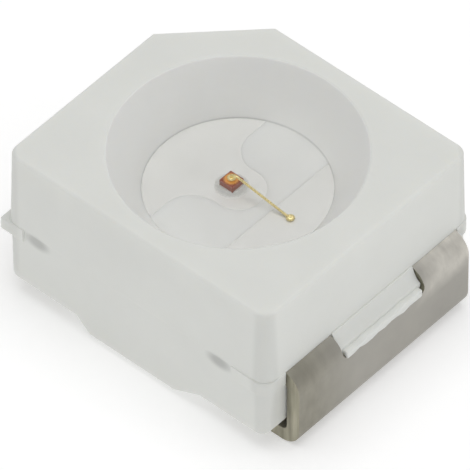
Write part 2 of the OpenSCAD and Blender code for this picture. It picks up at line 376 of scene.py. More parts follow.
def mirror_ends(obj):
    """Turns a piece of the +X end into the matching piece of the -X end."""
    make_active(obj)
    obj.scale.x = -1
    bpy.ops.object.transform_apply(scale=True)
    edit(obj)
    bpy.ops.mesh.select_all(action="SELECT")
    bpy.ops.mesh.normals_make_consistent(inside=False)
    bpy.ops.object.mode_set(mode="OBJECT")


def tidy_flats(obj):
    """Merges the parts of flat faces that a union has left."""
    edit(obj)
    bpy.ops.mesh.select_mode(type="VERT")
    bpy.ops.mesh.select_all(action="SELECT")
    bpy.ops.mesh.dissolve_limited(angle_limit=math.radians(0.5))
    bpy.ops.object.mode_set(mode="OBJECT")


def soften(obj, width, segments=2, limit=40):
    """Rounds every edge that is sharper than the limit."""
    make_active(obj)
    step = obj.modifiers.new("soften", "BEVEL")
    step.width = width
    step.segments = segments
    step.limit_method = "ANGLE"
    step.angle_limit = math.radians(limit)
    bpy.ops.object.modifier_apply(modifier=step.name)


def finish_piece(obj, material, slot, *nodes, smooth=35):
    """Shades a finished piece, brings it to metres and puts it in its nodes' place."""
    make_active(obj)
    bpy.ops.object.mode_set(mode="EDIT")
    bpy.ops.mesh.select_all(action="SELECT")
    bpy.ops.mesh.normals_make_consistent(inside=False)
    bpy.ops.object.mode_set(mode="OBJECT")
    bpy.ops.object.shade_smooth_by_angle(angle=math.radians(smooth))
    obj.modifiers.new("even_shading", "WEIGHTED_NORMAL").keep_sharp = True
    bpy.ops.object.modifier_apply(modifier="even_shading")
    obj.scale = (MM, MM, MM)
    bpy.ops.object.transform_apply(location=True, rotation=True, scale=True)
    obj.data.materials.clear()
    obj.data.materials.append(material)
    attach(obj, BODY)
    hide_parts(*nodes)


# Materials

def new_material(name):
    made = bpy.data.materials.new(name)
    made.use_nodes = True
    return made, made.node_tree, made.node_tree.nodes["Principled BSDF"]


def add_node(tree, kind, inputs=None, **settings):
    """Adds a node; an input is a value, or the output that feeds it."""
    node = tree.nodes.new(kind)
    for name, value in settings.items():
        setattr(node, name, value)
    for name, value in (inputs or {}).items():
        if isinstance(value, bpy.types.NodeSocket):
            tree.links.new(value, node.inputs[name])
        else:
            node.inputs[name].default_value = value
    return node


def object_place(tree, stretch=(1, 1, 1)):
    """The place on the piece in millimetres, stretched along the axes."""
    place = add_node(tree, "ShaderNodeTexCoord")
    scale = tuple(value / MM for value in stretch)
    mapping = add_node(tree, "ShaderNodeMapping", {"Vector": place.outputs["Object"], "Scale": scale})
    return mapping.outputs["Vector"]


def noise(tree, place, scale, detail=3.0):
    made = add_node(tree, "ShaderNodeTexNoise", {"Vector": place, "Scale": scale, "Detail": detail})
    return made.outputs["Fac"]


def between(tree, factor, low, high):
    """A number that runs from low to high as the factor runs from 0.3 to 0.7."""
    made = add_node(
        tree,
        "ShaderNodeMapRange",
        {"Value": factor, "From Min": 0.3, "From Max": 0.7, "To Min": low, "To Max": high},
    )
    return made.outputs["Result"]


def two_tones(tree, factor, first, second):
    made = add_node(tree, "ShaderNodeMix", data_type="RGBA")
    tree.links.new(factor, made.inputs[0])
    made.inputs[6].default_value = (*first, 1)
    made.inputs[7].default_value = (*second, 1)
    return made.outputs[2]


def mixed(tree, factor, first, second):
    """Mixes two colour outputs."""
    made = add_node(tree, "ShaderNodeMix", data_type="RGBA")
    tree.links.new(factor, made.inputs[0])
    tree.links.new(first, made.inputs[6])
    tree.links.new(second, made.inputs[7])
    return made.outputs[2]


def step_down(tree, number, start, end):
    """1 while the number is under the start, 0 past the end, and a ramp between."""
    made = add_node(
        tree,
        "ShaderNodeMapRange",
        {"Value": number, "From Min": start, "From Max": end, "To Min": 1.0, "To Max": 0.0},
    )
    return made.outputs["Result"]


def shade(base, factor):
    return tuple(value * factor for value in base)


def bump(tree, shader, height, depth):
    """Bumps a shader by a height pattern of the given depth in millimetres."""
    made = add_node(tree, "ShaderNodeBump", {"Height": height, "Distance": depth * MM})
    tree.links.new(made.outputs["Normal"], shader.inputs["Normal"])


def inside_cup(tree, place):
    """1 inside the reflector cup's space, and 0 outside it."""
    edge = RESIN_HIGH.x
    under_pads = LEAD_TOP - 0.05
    fade = 0.01
    split = add_node(tree, "ShaderNodeSeparateXYZ", {"Vector": place})
    flat = add_node(tree, "ShaderNodeCombineXYZ", {"X": split.outputs["X"], "Y": split.outputs["Y"]})
    spread = add_node(tree, "ShaderNodeVectorMath", {0: flat.outputs["Vector"]}, operation="LENGTH")
    near = step_down(tree, spread.outputs["Value"], edge, edge + fade)
    under = step_down(tree, split.outputs["Z"], under_pads, under_pads + fade)
    made = add_node(tree, "ShaderNodeMath", {0: near, 1: under}, operation="SUBTRACT", use_clamp=True)
    return made.outputs["Value"]


def upright_corners(tree, place, corner):
    """1 along the body's upright corners, and 0 away from them; corner is a sharp corner's |x| + |y|."""
    start, end = corner - 0.195, corner - 0.125
    folded = add_node(tree, "ShaderNodeVectorMath", {0: place}, operation="ABSOLUTE")
    split = add_node(tree, "ShaderNodeSeparateXYZ", {"Vector": folded.outputs["Vector"]})
    both_ways = add_node(
        tree, "ShaderNodeMath", {0: split.outputs["X"], 1: split.outputs["Y"]}, operation="ADD"
    )
    made = add_node(
        tree,
        "ShaderNodeMapRange",
        {"Value": both_ways.outputs["Value"], "From Min": start, "From Max": end},
        interpolation_type="SMOOTHSTEP",
    )
    return made.outputs["Result"]


def shade_spot(tree, place, centre, half_long, half_high):
    """Mask of a painted shade spot: 1 at a centre seen from the long side, and 0 at its half sizes."""
    solid, faded = 0.25, 1.0
    away = add_node(tree, "ShaderNodeVectorMath", {0: place, 1: centre}, operation="SUBTRACT")
    spread = add_node(
        tree,
        "ShaderNodeVectorMath",
        {0: away.outputs["Vector"], 1: (1 / half_long, 0, 1 / half_high)},
        operation="MULTIPLY",
    )
    reach = add_node(tree, "ShaderNodeVectorMath", {0: spread.outputs["Vector"]}, operation="LENGTH")
    made = add_node(
        tree,
        "ShaderNodeMapRange",
        {"Value": reach.outputs["Value"], "From Min": solid, "From Max": faded, "To Min": 1, "To Max": 0},
        interpolation_type="SMOOTHSTEP",
    )
    return made.outputs["Result"]


def white_moulding(base, cup, cup_floor_shade, corner, ties):
    """Satin white plastic, clean in the cup, with painted shade along the upright corners and, where the
    tie bars' ends lie under the long walls, painted shade with the grey of their metal; the cup's wall is
    painted lighter and its floor darker.
    """
    tie_z = LEAD_TOP - 0.06
    made, tree, shader = new_material("white_moulding")
    place = object_place(tree)
    clouds = between(tree, noise(tree, place, 1.6), 0, 1)
    height = add_node(tree, "ShaderNodeSeparateXYZ", {"Vector": place}).outputs["Z"]
    even = two_tones(tree, clouds, shade(base, 0.985), shade(base, 1.015))
    # Painted shade: the plastic is painted darker along the upright corners.
    corner_shade = two_tones(tree, clouds, shade(base, 0.90), shade(base, 0.93))
    outer = mixed(tree, upright_corners(tree, place, corner), even, corner_shade)
    # Painted shade where the tie bars' ends meet the long walls, standing in for their recesses, with the
    # grey of their metal.
    tie_recess_shade = two_tones(tree, clouds, shade(base, 0.66), shade(base, 0.72))
    for tie in ties:
        spot = shade_spot(tree, place, (tie, 0, tie_z), half_long=0.19, half_high=0.11)
        outer = mixed(tree, spot, outer, tie_recess_shade)
    # Painted light and shade in the cup: the wall a lighter copy of the moulding, the floor a darker one.
    lit_cup_wall = two_tones(tree, clouds, shade(cup, 0.99), shade(cup, 1.01))
    floor = two_tones(tree, clouds, shade(cup_floor_shade, 0.98), shade(cup_floor_shade, 1.02))
    inner = mixed(tree, step_down(tree, height, LEAD_TOP + 0.01, LEAD_TOP + 0.03), lit_cup_wall, floor)
    tree.links.new(mixed(tree, inside_cup(tree, place), outer, inner), shader.inputs["Base Color"])
    tree.links.new(between(tree, noise(tree, place, 9.0), 0.50, 0.62), shader.inputs["Roughness"])
    shader.inputs["Subsurface Weight"].default_value = 0.35
    shader.inputs["Subsurface Radius"].default_value = (1.0, 0.95, 0.85)
    shader.inputs["Subsurface Scale"].default_value = 0.12 * MM
    shader.inputs["IOR"].default_value = 1.5
    bump(tree, shader, noise(tree, place, 22.0, 4.0), 0.0012)
    return made


def sideways(tree):
    """1 on faces that look along the Y axis, and 0 on the others."""
    facing = add_node(tree, "ShaderNodeTexCoord").outputs["Normal"]
    folded = add_node(tree, "ShaderNodeVectorMath", {0: facing}, operation="ABSOLUTE")
    split = add_node(tree, "ShaderNodeSeparateXYZ", {"Vector": folded.outputs["Vector"]})
    made = add_node(
        tree, "ShaderNodeMapRange", {"Value": split.outputs["Y"], "From Min": 0.6, "From Max": 0.8}
    )
    return made.outputs["Result"]


def dull_plating(base, low_y_tone, sheared, pad):
    """Silver plating: satin and cloudy outside, with a painted highlight high on the +Y side, darker and
    more olive towards the -Y side, and bright under the resin.
    """
    made, tree, shader = new_material("plated_lead")
    place = object_place(tree)
    grain = noise(tree, object_place(tree, (3.0, 9.0, 5.0)), 1.0, 6.0)
    bands = noise(tree, object_place(tree, (16.0, 1.0, 1.5)), 1.0, 3.0)
    clouds = noise(tree, place, 1.7, 5.0)
    split = add_node(tree, "ShaderNodeSeparateXYZ", {"Vector": place})
    across, height = split.outputs["Y"], split.outputs["Z"]
    plain = two_tones(tree, between(tree, clouds, 0, 1), shade(base, 0.86), shade(base, 1.08))
    # Painted highlight: lighter plating high on the +Y side, on the bends' shoulders.
    shoulder_highlight = two_tones(tree, between(tree, grain, 0, 1), shade(base, 1.35), shade(base, 2.0))
    off_highlight_side = step_down(tree, across, 0.45, 1.0)
    off_highlight_foot = step_down(tree, height, 0.55, 0.9)
    away = add_node(tree, "ShaderNodeMath", {0: off_highlight_side, 1: off_highlight_foot}, operation="MAXIMUM")
    plain_and_highlight = mixed(tree, away.outputs["Value"], shoulder_highlight, plain)
    # Darker, more olive, streaky tone towards the -Y side.
    low_y_streaks = two_tones(tree, between(tree, grain, 0, 1), shade(low_y_tone, 0.90), shade(low_y_tone, 1.08))
    flats = mixed(tree, step_down(tree, across, -0.95, -0.35), plain_and_highlight, low_y_streaks)
    edges = two_tones(tree, between(tree, bands, 0, 1), shade(sheared, 0.65), shade(sheared, 1.25))
    inner = two_tones(tree, between(tree, clouds, 0, 1), shade(pad, 0.98), shade(pad, 1.02))
    outer = mixed(tree, sideways(tree), flats, edges)
    tree.links.new(mixed(tree, inside_cup(tree, place), outer, inner), shader.inputs["Base Color"])
    tree.links.new(between(tree, clouds, 0.46, 0.60), shader.inputs["Roughness"])
    shader.inputs["Metallic"].default_value = 1.0
    bump(tree, shader, clouds, 0.006)
    return made


def clear_resin(tint):
    """Clear resin that lets the lamps' light through to the cup."""
    made, tree, shader = new_material("clear_resin")
    place = object_place(tree)
    tree.links.new(
        two_tones(tree, between(tree, noise(tree, place, 1.2), 0, 1), tint, shade(tint, 0.99)),
        shader.inputs["Base Color"],
    )
    shader.inputs["Transmission Weight"].default_value = 1.0
    shader.inputs["Roughness"].default_value = 0.02
    shader.inputs["IOR"].default_value = 1.5
    rays = add_node(tree, "ShaderNodeLightPath")
    clear = add_node(tree, "ShaderNodeBsdfTransparent")
    surface = shader.outputs["BSDF"]
    for ray in ("Is Shadow Ray", "Is Diffuse Ray"):
        mix = add_node(tree, "ShaderNodeMixShader", {"Fac": rays.outputs[ray]})
        tree.links.new(surface, mix.inputs[1])
        tree.links.new(clear.outputs["BSDF"], mix.inputs[2])
        surface = mix.outputs["Shader"]
    tree.links.new(surface, tree.nodes["Material Output"].inputs["Surface"])
    return made


def gold(base):
    made, tree, shader = new_material("gold")
    place = object_place(tree)
    grain = noise(tree, place, 60.0)
    tree.links.new(
        two_tones(tree, between(tree, grain, 0, 1), shade(base, 0.9), shade(base, 1.05)),
        shader.inputs["Base Color"],
    )
    tree.links.new(between(tree, grain, 0.22, 0.34), shader.inputs["Roughness"])
    shader.inputs["Metallic"].default_value = 1.0
    bump(tree, shader, grain, 0.0006)
    return made


def silver_glue(base):
    made, tree, shader = new_material("silver_glue")
    place = object_place(tree)
    flakes = add_node(tree, "ShaderNodeTexVoronoi", {"Vector": place, "Scale": 110.0})
    tone = between(tree, flakes.outputs["Distance"], 0, 1)
    tree.links.new(two_tones(tree, tone, shade(base, 1.1), shade(base, 0.9)), shader.inputs["Base Color"])
    tree.links.new(between(tree, noise(tree, place, 40.0), 0.35, 0.6), shader.inputs["Roughness"])
    shader.inputs["Metallic"].default_value = 0.2
    bump(tree, shader, flakes.outputs["Distance"], 0.002)
    return made


def die_crystal(base, contact):
    """Red crystal with a gold contact in the middle of its top."""
    made, tree, shader = new_material("die")
    place = object_place(tree)
    grain = noise(tree, place, 90.0)
    crystal = two_tones(tree, between(tree, grain, 0, 1), shade(base, 0.8), shade(base, 1.3))
    metal = two_tones(tree, between(tree, grain, 0, 1), shade(contact, 0.85), shade(contact, 1.1))
    middle = (DIE_CENTRE.x, DIE_CENTRE.y, DIE_HIGH.z)
    away = add_node(tree, "ShaderNodeVectorMath", {0: place, 1: middle}, operation="DISTANCE")
    spot = step_down(tree, away.outputs["Value"], 0.055, 0.08)
    tree.links.new(mixed(tree, spot, crystal, metal), shader.inputs["Base Color"])
    tree.links.new(between(tree, grain, 0.25, 0.4), shader.inputs["Roughness"])
    bump(tree, shader, grain, 0.0006)
    return made


def lit_floor(base, glow):
    made, tree, shader = new_material("floor")
    place = object_place(tree)
    tree.links.new(
        two_tones(tree, noise(tree, place, 0.01), shade(base, 0.995), base), shader.inputs["Base Color"]
    )
    shader.inputs["Roughness"].default_value = 0.9
    shader.inputs["Specular IOR Level"].default_value = 0.1
    shader.inputs["Emission Color"].default_value = (1, 1, 1, 1)
    shader.inputs["Emission Strength"].default_value = glow
    return made


# Housing

def drafted_block(name, long, wide, start_z, end_z, draft, corner):
    """A block that leans in from its start height, with round upright corners, left in edit mode."""
    low_z, high_z = sorted((start_z, end_z))
    block = add_block(name, (-long / 2, -wide / 2, low_z), (long / 2, wide / 2, high_z))
    lean = (high_z - low_z) * math.tan(draft)
    edit(block)
    choose(block, "faces", faces_at(2, end_z))
    bpy.ops.transform.resize(
        value=(1 - 2 * lean / long, 1 - 2 * lean / wide, 1), center_override=(0, 0, end_z)
    )
    choose(block, "edges", edges_along(2))
    bevel_chosen(corner, 8)
    return block


def upper_half(size, draft):
    upper = drafted_block(
        "upper_half", size.body_length, size.body_width, LEAD_TOP, TOP_Z, draft, size.corner_radius
    )
    choose(upper, "faces", lambda face: True)
    bpy.ops.mesh.bisect(
        plane_co=(size.chamfer - size.body_length / 2, size.body_width / 2, 0),
        plane_no=(-1, 1, 0),
        use_fill=True,
        clear_outer=True,
    )
    choose(upper, "edges", edges_at(2, TOP_Z))
    bevel_chosen(size.top_edge, 5)
    choose(upper, "edges", edges_at(2, LEAD_TOP))
    bevel_chosen(size.parting_edge, 2)
    return upper


def lower_half(size, draft):
    """A hanging block trimmed to its side view: tab recesses, round ends and a middle block."""
    long = size.body_length - 2 * size.end_step
    wide = size.body_width - 2 * size.side_step
    middle = min(size.block_cathode, size.block_anode)
    trim = add_block("side_view", (-long / 2, -wide, size.recess_z), (long / 2, wide, LEAD_TOP + 2 * LAP))
    edit(trim)
    choose(trim, "edges", both(edges_along(1), edges_at(2, size.recess_z)))
    bevel_chosen(size.end_radius, 10)
    for place in (-size.block_cathode - size.slope_cathode, size.block_anode + size.slope_anode):
        choose(trim, "faces", lambda face: True)
        bpy.ops.mesh.bisect(plane_co=(place, 0, 0), plane_no=(1, 0, 0))
    choose(trim, "faces", both(lambda face: face.normal.z < -0.9, centred(0, middle)))
    extrude_chosen((0, 0, HOUSING_LOW.z - size.recess_z))
    for side, run in ((-1, size.slope_cathode), (1, size.slope_anode)):
        choose(
            trim,
            "verts",
            lambda vert: vert.co.z < HOUSING_LOW.z + LAP and vert.co.x * side > 0,
        )
        bpy.ops.transform.translate(value=(-side * run, 0, 0))
    lower = drafted_block(
        "lower_half", long, wide, LEAD_TOP + LAP, HOUSING_LOW.z, draft, size.corner_radius
    )
    combine(lower, trim, "INTERSECT")
    gate = add_cone(
        "gate",
        ((size.block_anode - size.block_cathode) / 2, 0, HOUSING_LOW.z - LAP),
        size.gate_diameter / 2,
        size.gate_diameter / 2,
        size.gate_depth + LAP,
        64,
    )
    combine(lower, gate, "DIFFERENCE")
    return lower


class LED_OT_housing(bpy.types.Operator):
    """Model the white moulded body"""

    bl_idname = "led.housing"
    bl_label = "Housing"

    def execute(self, context):
        group = context.scene.led_housing
        leads = Millimetres(context.scene.led_leads)
        size = Millimetres(group)
        housing = upper_half(size, group.upper_draft)
        combine(housing, lower_half(size, group.lower_draft), "UNION")
        combine(housing, self.corner_belts(size, leads), "UNION")
        combine(housing, self.trimmed_stub(size, leads), "UNION")
        for side in (-1, 1):
            self.add_nose(housing, side, size, leads)
            self.add_burr(housing, side, size, leads)
        self.cut_cup(housing, size, group)
        housing.name = "moulded_housing"
        corner = (size.body_length + size.body_width) / 2
        ties = (-leads.tie_cathode, leads.tie_anode)
        plastic = white_moulding(group.plastic, group.cup, group.cup_floor_shade, corner, ties)
        finish_piece(housing, plastic, "white_moulding", "housing")
        return {"FINISHED"}

    def corner_belts(self, size, leads):
        """The corners in the leads' layer, a hair proud of the upper half."""
        half_long = size.body_length / 2 + size.belt_proud
        half_wide = size.body_width / 2 + size.belt_proud
        beside_tie = leads.tie_width / 2 + size.stub_gap
        side = leads.width / 2 + size.mould_clear
        belts = add_block(
            "belts",
            (-half_long, -half_wide, LEAD_TOP - leads.thickness),
            (half_long, half_wide, LEAD_TOP + size.belt_proud),
        )
        edit(belts)
        choose(belts, "edges", edges_along(2))
        bevel_chosen(size.corner_radius, 8)
        bpy.ops.object.mode_set(mode="OBJECT")
        soften(belts, size.parting_edge, 3, 60)
        cut_through(
            belts,
            (-leads.tie_cathode - beside_tie, -2 * half_wide),
            (leads.tie_anode + beside_tie, 2 * half_wide),
        )
        cut_through(belts, (-2 * half_long, leads.shift - side), (2 * half_long, leads.shift + side))
        return belts

    def trimmed_stub(self, size, leads):
        """Plastic trimmed off at one corner of the cathode end."""
        stub = add_block(
            "stub",
            (-size.body_length / 2 - size.stub_out, HOUSING_LOW.y, LEAD_TOP - leads.thickness),
            (
                -leads.tie_cathode - leads.tie_width / 2 - size.stub_gap,
                leads.shift - leads.width / 2 - size.mould_clear,
                LEAD_TOP,
            ),
        )
        rounding = 0.02
        soften(stub, rounding, 3)
        return stub

    def add_nose(self, housing, side, size, leads):
        """Plastic moulded through a lead's notch, hollow at its root and round at its tip."""
        root = size.body_length / 2 - size.end_step - LAP
        tip = HOUSING_HIGH.x
        start = ANODE_HIGH.x - leads.thickness
        half_wide = leads.notch_width / 2 - size.mould_clear
        low_z = leads.notch_z + size.mould_clear
        high_z = LEAD_TOP + size.nose_rise
        nose = add_block(
            "nose", (root, leads.shift - half_wide, low_z), (tip, leads.shift + half_wide, high_z)
        )
        edit(nose)
        choose(nose, "edges", both(edges_along(0), edges_at(2, low_z)))
        bevel_chosen(leads.notch_radius - size.mould_clear, 6)
        steps = 4
        for step in range(steps):
            choose(nose, "faces", lambda face: True)
            place = start + (tip - start) * step / steps
            bpy.ops.mesh.bisect(plane_co=(place, 0, 0), plane_no=(1, 0, 0))
        for step in range(1, steps + 1):
            place = start + (tip - start) * step / steps
            drop = (size.nose_fall + size.nose_rise) * (1 - (1 - step / steps) ** 2)
            choose(nose, "edges", both(edges_at(0, place), edges_at(2, high_z)))
            bpy.ops.transform.translate(value=(0, 0, -drop))
        choose(nose, "edges", both(edges_at(0, tip), edges_at(2, LEAD_TOP - size.nose_fall)))
        bevel_chosen(size.nose_edge, 5)
        bpy.ops.object.mode_set(mode="OBJECT")
        if side < 0:
            mirror_ends(nose)
        combine(housing, nose, "UNION")

    def add_burr(self, housing, side, size, leads):
        """An uneven bead of plastic squeezed out along the notch's lower edge."""
        half_wide = (leads.notch_width - leads.notch_radius) / 2
        root = HOUSING_HIGH.x - 3 * LAP
        tip = ANODE_HIGH.x + size.burr_proud
        low_z = leads.notch_z - size.burr_height / 5
        burr = add_block(
            "burr",
            (root, leads.shift - half_wide, low_z),
            (tip, leads.shift + half_wide, low_z + size.burr_height),
        )
        edit(burr)
        waves = 12
        for wave in range(1, waves):
            choose(burr, "faces", lambda face: True)
            place = leads.shift + half_wide * (2 * wave / waves - 1)
            bpy.ops.mesh.bisect(plane_co=(0, place, 0), plane_no=(0, 1, 0))
        for wave in range(waves + 1):
            place = leads.shift + half_wide * (2 * wave / waves - 1)
            swell = 0.25 * math.sin(2.3 * wave) + 0.15 * math.sin(5.1 * wave)
            choose(burr, "verts", lambda vert: abs(vert.co.y - place) < 1e-4 and vert.co.x > root + LAP)
            bpy.ops.transform.resize(
                value=(1, 1, 1 + swell), center_override=(tip, place, low_z + size.burr_height / 2)
            )
        bpy.ops.object.mode_set(mode="OBJECT")
        rounding = 0.02
        soften(burr, rounding, 4, 30)
        if side < 0:
            mirror_ends(burr)
        combine(housing, burr, "UNION")

    def cut_cup(self, housing, size, group):
        """Cuts the reflector cup and softens its rim."""
        lean = math.tan(group.upper_draft)
        spread = math.tan(group.cup_slope)
        rim = size.body_width / 2 - (TOP_Z - LEAD_TOP) * lean - size.rim_wall
        over = 0.1
        floor_z = LEAD_TOP - size.floor_sink
        cup = add_cone(
            "cup",
            (0, 0, floor_z),
            rim - (TOP_Z - floor_z) * spread,
            rim + over * spread,
            TOP_Z + over - floor_z,
        )
        combine(housing, cup, "DIFFERENCE")
        edit(housing)
        choose(
            housing,
            "edges",
            lambda edge: all(
                abs(vert.co.z - TOP_Z) < FINE_LAP and abs(vert.co.xy.length - rim) < 2 * FINE_LAP
                for vert in edge.verts
            ),
        )
        bevel_chosen(size.rim_edge, 4)


# Leads

def bent_strip(name, leads):
    """One lead's strip, bent down outside the body and in under it, at the +X end."""
    low_y = leads.shift - leads.width / 2
    high_y = leads.shift + leads.width / 2
    bend_x = ANODE_HIGH.x - leads.bend_radius
    strip = add_block(name, (leads.strip_x, low_y, LEAD_TOP - leads.thickness), (bend_x, high_y, LEAD_TOP))
    edit(strip)
    choose(strip, "faces", faces_at(0, bend_x))
    turn_down(bend_x, LEAD_TOP - leads.bend_radius)
    extrude_chosen((0, 0, 2 * leads.bend_radius - LEAD_TOP))
    turn_down(bend_x, leads.bend_radius)
    extrude_chosen((leads.bend_radius - leads.tab_length, 0, 0))
    return strip


def turn_down(x, z):
    """Bends the chosen end of the strip by a quarter turn, about an axis across it."""
    bpy.ops.mesh.spin(steps=12, angle=-QUARTER, center=(x, 0, z), axis=AXIS_Y)


def flat_sheet(name, low_x, high_x, wide, leads):
    """A flat piece of the lead sheet inside the body, even about the middle."""
    return add_block(
        name, (low_x, -wide / 2, LEAD_TOP - leads.thickness), (high_x, wide / 2, LEAD_TOP)
    )


class LED_OT_leads(bpy.types.Operator):
    """Model the two bent leads, their pads and their trimmed tie bars"""

    bl_idname = "led.leads"
    bl_label = "Leads"

    def execute(self, context):
        group = context.scene.led_leads
        leads = Millimetres(group)
        plating = dull_plating(group.plating, group.low_y_tone, group.sheared, group.pad)
        self.anode(leads, plating)
        self.cathode(leads, plating)
        return {"FINISHED"}

    def anode(self, leads, plating):
        lead = self.notched_lead("anode_leadframe", leads)
        pad = flat_sheet("pad", ANODE_LOW.x, leads.strip_x + LAP, leads.pad_width, leads)
        combine(lead, pad, "UNION")
        self.add_ties(lead, leads.tie_anode, leads)
        tidy_flats(lead)
        soften(lead, leads.sheared_edge)
        finish_piece(lead, plating, "plated_lead", "anode_lead")

    def cathode(self, leads, plating):
        lead = self.notched_lead("cathode_leadframe", leads)
        mirror_ends(lead)
        combine(lead, self.pad_with_tongue(leads), "UNION")
        self.add_ties(lead, -leads.tie_cathode, leads)
        tidy_flats(lead)
        soften(lead, leads.sheared_edge)
        finish_piece(lead, plating, "plated_lead", "cathode_lead")

    def notched_lead(self, name, leads):
        lead = bent_strip(name, leads)
        notch = add_block(
            "notch",
            (leads.notch_x, leads.shift - leads.notch_width / 2, leads.notch_z),
            (2 * ANODE_HIGH.x, leads.shift + leads.notch_width / 2, 2 * LEAD_TOP),
        )
        edit(notch)
        choose(notch, "edges", both(edges_along(0), edges_at(2, leads.notch_z)))
        bevel_chosen(leads.notch_radius, 8)
        bpy.ops.object.mode_set(mode="OBJECT")
        combine(lead, notch, "DIFFERENCE")
        return lead

    def add_ties(self, lead, place, leads):
        half = leads.tie_width / 2
        ties = flat_sheet("ties", place - half, place + half, 2 * self.tie_reach(leads), leads)
        combine(lead, ties, "UNION")

    def tie_reach(self, leads):
        """How far the tie bars reach from the middle: nearly to the long walls."""
        return bpy.context.scene.led_housing.body_width / 2 / MM - leads.tie_sink

    def pad_with_tongue(self, leads):
        """The wide pad and the round-ended tongue, with hollow corners between them."""
        radius = leads.tongue_width / 2
        front = -leads.cathode_edge
        pad = flat_sheet("pad", -leads.strip_x - LAP, front, leads.pad_width, leads)
        edit(pad)
        for side in (-1, 1):
            choose(pad, "faces", lambda face: True)
            bpy.ops.mesh.bisect(plane_co=(0, side * radius, 0), plane_no=(0, 1, 0))
        choose(pad, "faces", both(faces_at(0, front), centred(1, radius)))
        extrude_chosen((CATHODE_HIGH.x - front, 0, 0))
        bpy.ops.object.mode_set(mode="OBJECT")
        tidy_flats(pad)
        edit(pad)
        choose(pad, "edges", both(both(edges_along(2), edges_at(0, front)), within(1, radius + LAP)))
        bevel_chosen(leads.tongue_fillet, 16)
        choose(pad, "edges", both(edges_along(2), edges_at(0, CATHODE_HIGH.x)))
        bevel_chosen(radius - 0.001, 16)
        bpy.ops.object.mode_set(mode="OBJECT")
        return pad


# Chip and bonds

class LED_OT_chip(bpy.types.Operator):
    """Model the die and the glue that holds it"""

    bl_idname = "led.chip"
    bl_label = "Die and glue"

    def execute(self, context):
        group = context.scene.led_chip
        chip = Millimetres(group)
        self.die(group)
        self.glue(chip, group)
        return {"FINISHED"}

    def die(self, group):
        """A sawn crystal: a step where the saw stopped, and a mesa on top."""
        mesa = 0.012
        street = 0.012
        edge = 0.004
        die = add_block("die", DIE_LOW, DIE_HIGH - AXIS_Z * mesa)
        edit(die)
        choose(die, "faces", faces_at(2, DIE_HIGH.z - mesa))
        bpy.ops.mesh.inset(thickness=street, depth=0)
        extrude_chosen((0, 0, mesa))
        bpy.ops.object.mode_set(mode="OBJECT")
        soften(die, edge)
        finish_piece(die, die_crystal(group.die, group.contact), "die", "led_die")

    def glue(self, chip, group):
        """A hollow-sided fillet of glue round the die's foot."""
        rings = 6
        height = GLUE_HIGH.z - LEAD_TOP
        foot = (DIE_CENTRE.x, DIE_CENTRE.y, LEAD_TOP - 2 * FINE_LAP)
        glue = add_cone("glue", foot, chip.glue_radius, chip.glue_radius, 3 * FINE_LAP, 72)
        edit(glue)
        choose(glue, "faces", lambda face: face.normal.z > 0.9)
        width = (chip.glue_radius - chip.glue_top) / rings
        for ring in range(rings):
            rise = height * ((ring + 1) ** 2 - ring**2) / rings**2
            bpy.ops.mesh.inset(thickness=width, depth=rise)
        bpy.ops.object.mode_set(mode="OBJECT")
        finish_piece(glue, silver_glue(group.glue), "silver_glue", "die_attach", smooth=60)


class LED_OT_bonds(bpy.types.Operator):
    """Model the gold bond wire and its balls"""

    bl_idname = "led.bonds"
    bl_label = "Bond wire and balls"

    def execute(self, context):
        group = context.scene.led_chip
        chip = Millimetres(group)
        metal = gold(group.gold)
        self.wire(chip, metal)
        ball = self.ball("stitch_ball", (STITCH_CENTRE.x, STITCH_CENTRE.y, LEAD_TOP), chip)
        finish_piece(ball, metal, "gold", "security_ball", smooth=60)
        return {"FINISHED"}

    def ball(self, name, base, chip):
        """A ball pressed flat between the capillary and the metal."""
        foot = Vector(base) - AXIS_Z * FINE_LAP
        radius = chip.ball_diameter / 2
        ball = add_cone(name, foot, radius, radius, chip.ball_height + FINE_LAP, 40)
        soften(ball, chip.ball_height * 0.45, 5)
        return ball

    def wire(self, chip, metal):
        """Ball, neck, loop and straight fall, in the plane through both bonds."""
        run = STITCH_CENTRE.xy - DIE_CENTRE.xy
        span = run.length
        heading = Vector((run.x, run.y, 0)).normalized()
        across = heading.cross(AXIS_Z)
        start = Vector((DIE_CENTRE.x, DIE_CENTRE.y, DIE_HIGH.z + chip.ball_height))
        loop_z = start.z + chip.neck_height
        foot_z = LEAD_TOP + chip.wire_diameter / 4
        drop = Vector((span - chip.loop_radius, loop_z - foot_z))
        fall = math.atan2(drop.y, drop.x) + math.asin(chip.loop_radius / drop.length)
        slide = math.sqrt(drop.length_squared - chip.loop_radius**2)
        deselect_all()
        sunk = 5 * FINE_LAP
        bpy.ops.mesh.primitive_circle_add(
            vertices=20, radius=chip.wire_diameter / 2, fill_type="NGON", location=start - AXIS_Z * sunk
        )
        wire = keep_place("wire")
        edit(wire)
        bpy.ops.mesh.select_all(action="SELECT")
        extrude_chosen((0, 0, chip.neck_height + sunk))
        centre = start + AXIS_Z * chip.neck_height + heading * chip.loop_radius
        bpy.ops.mesh.spin(steps=16, angle=QUARTER + fall, center=centre, axis=across)
        extrude_chosen((heading * math.cos(fall) - AXIS_Z * math.sin(fall)) * slide)
        bpy.ops.object.mode_set(mode="OBJECT")
        combine(wire, self.ball("die_ball", (DIE_CENTRE.x, DIE_CENTRE.y, DIE_HIGH.z), chip), "UNION")
        finish_piece(wire, metal, "gold", "bond_wire", smooth=60)


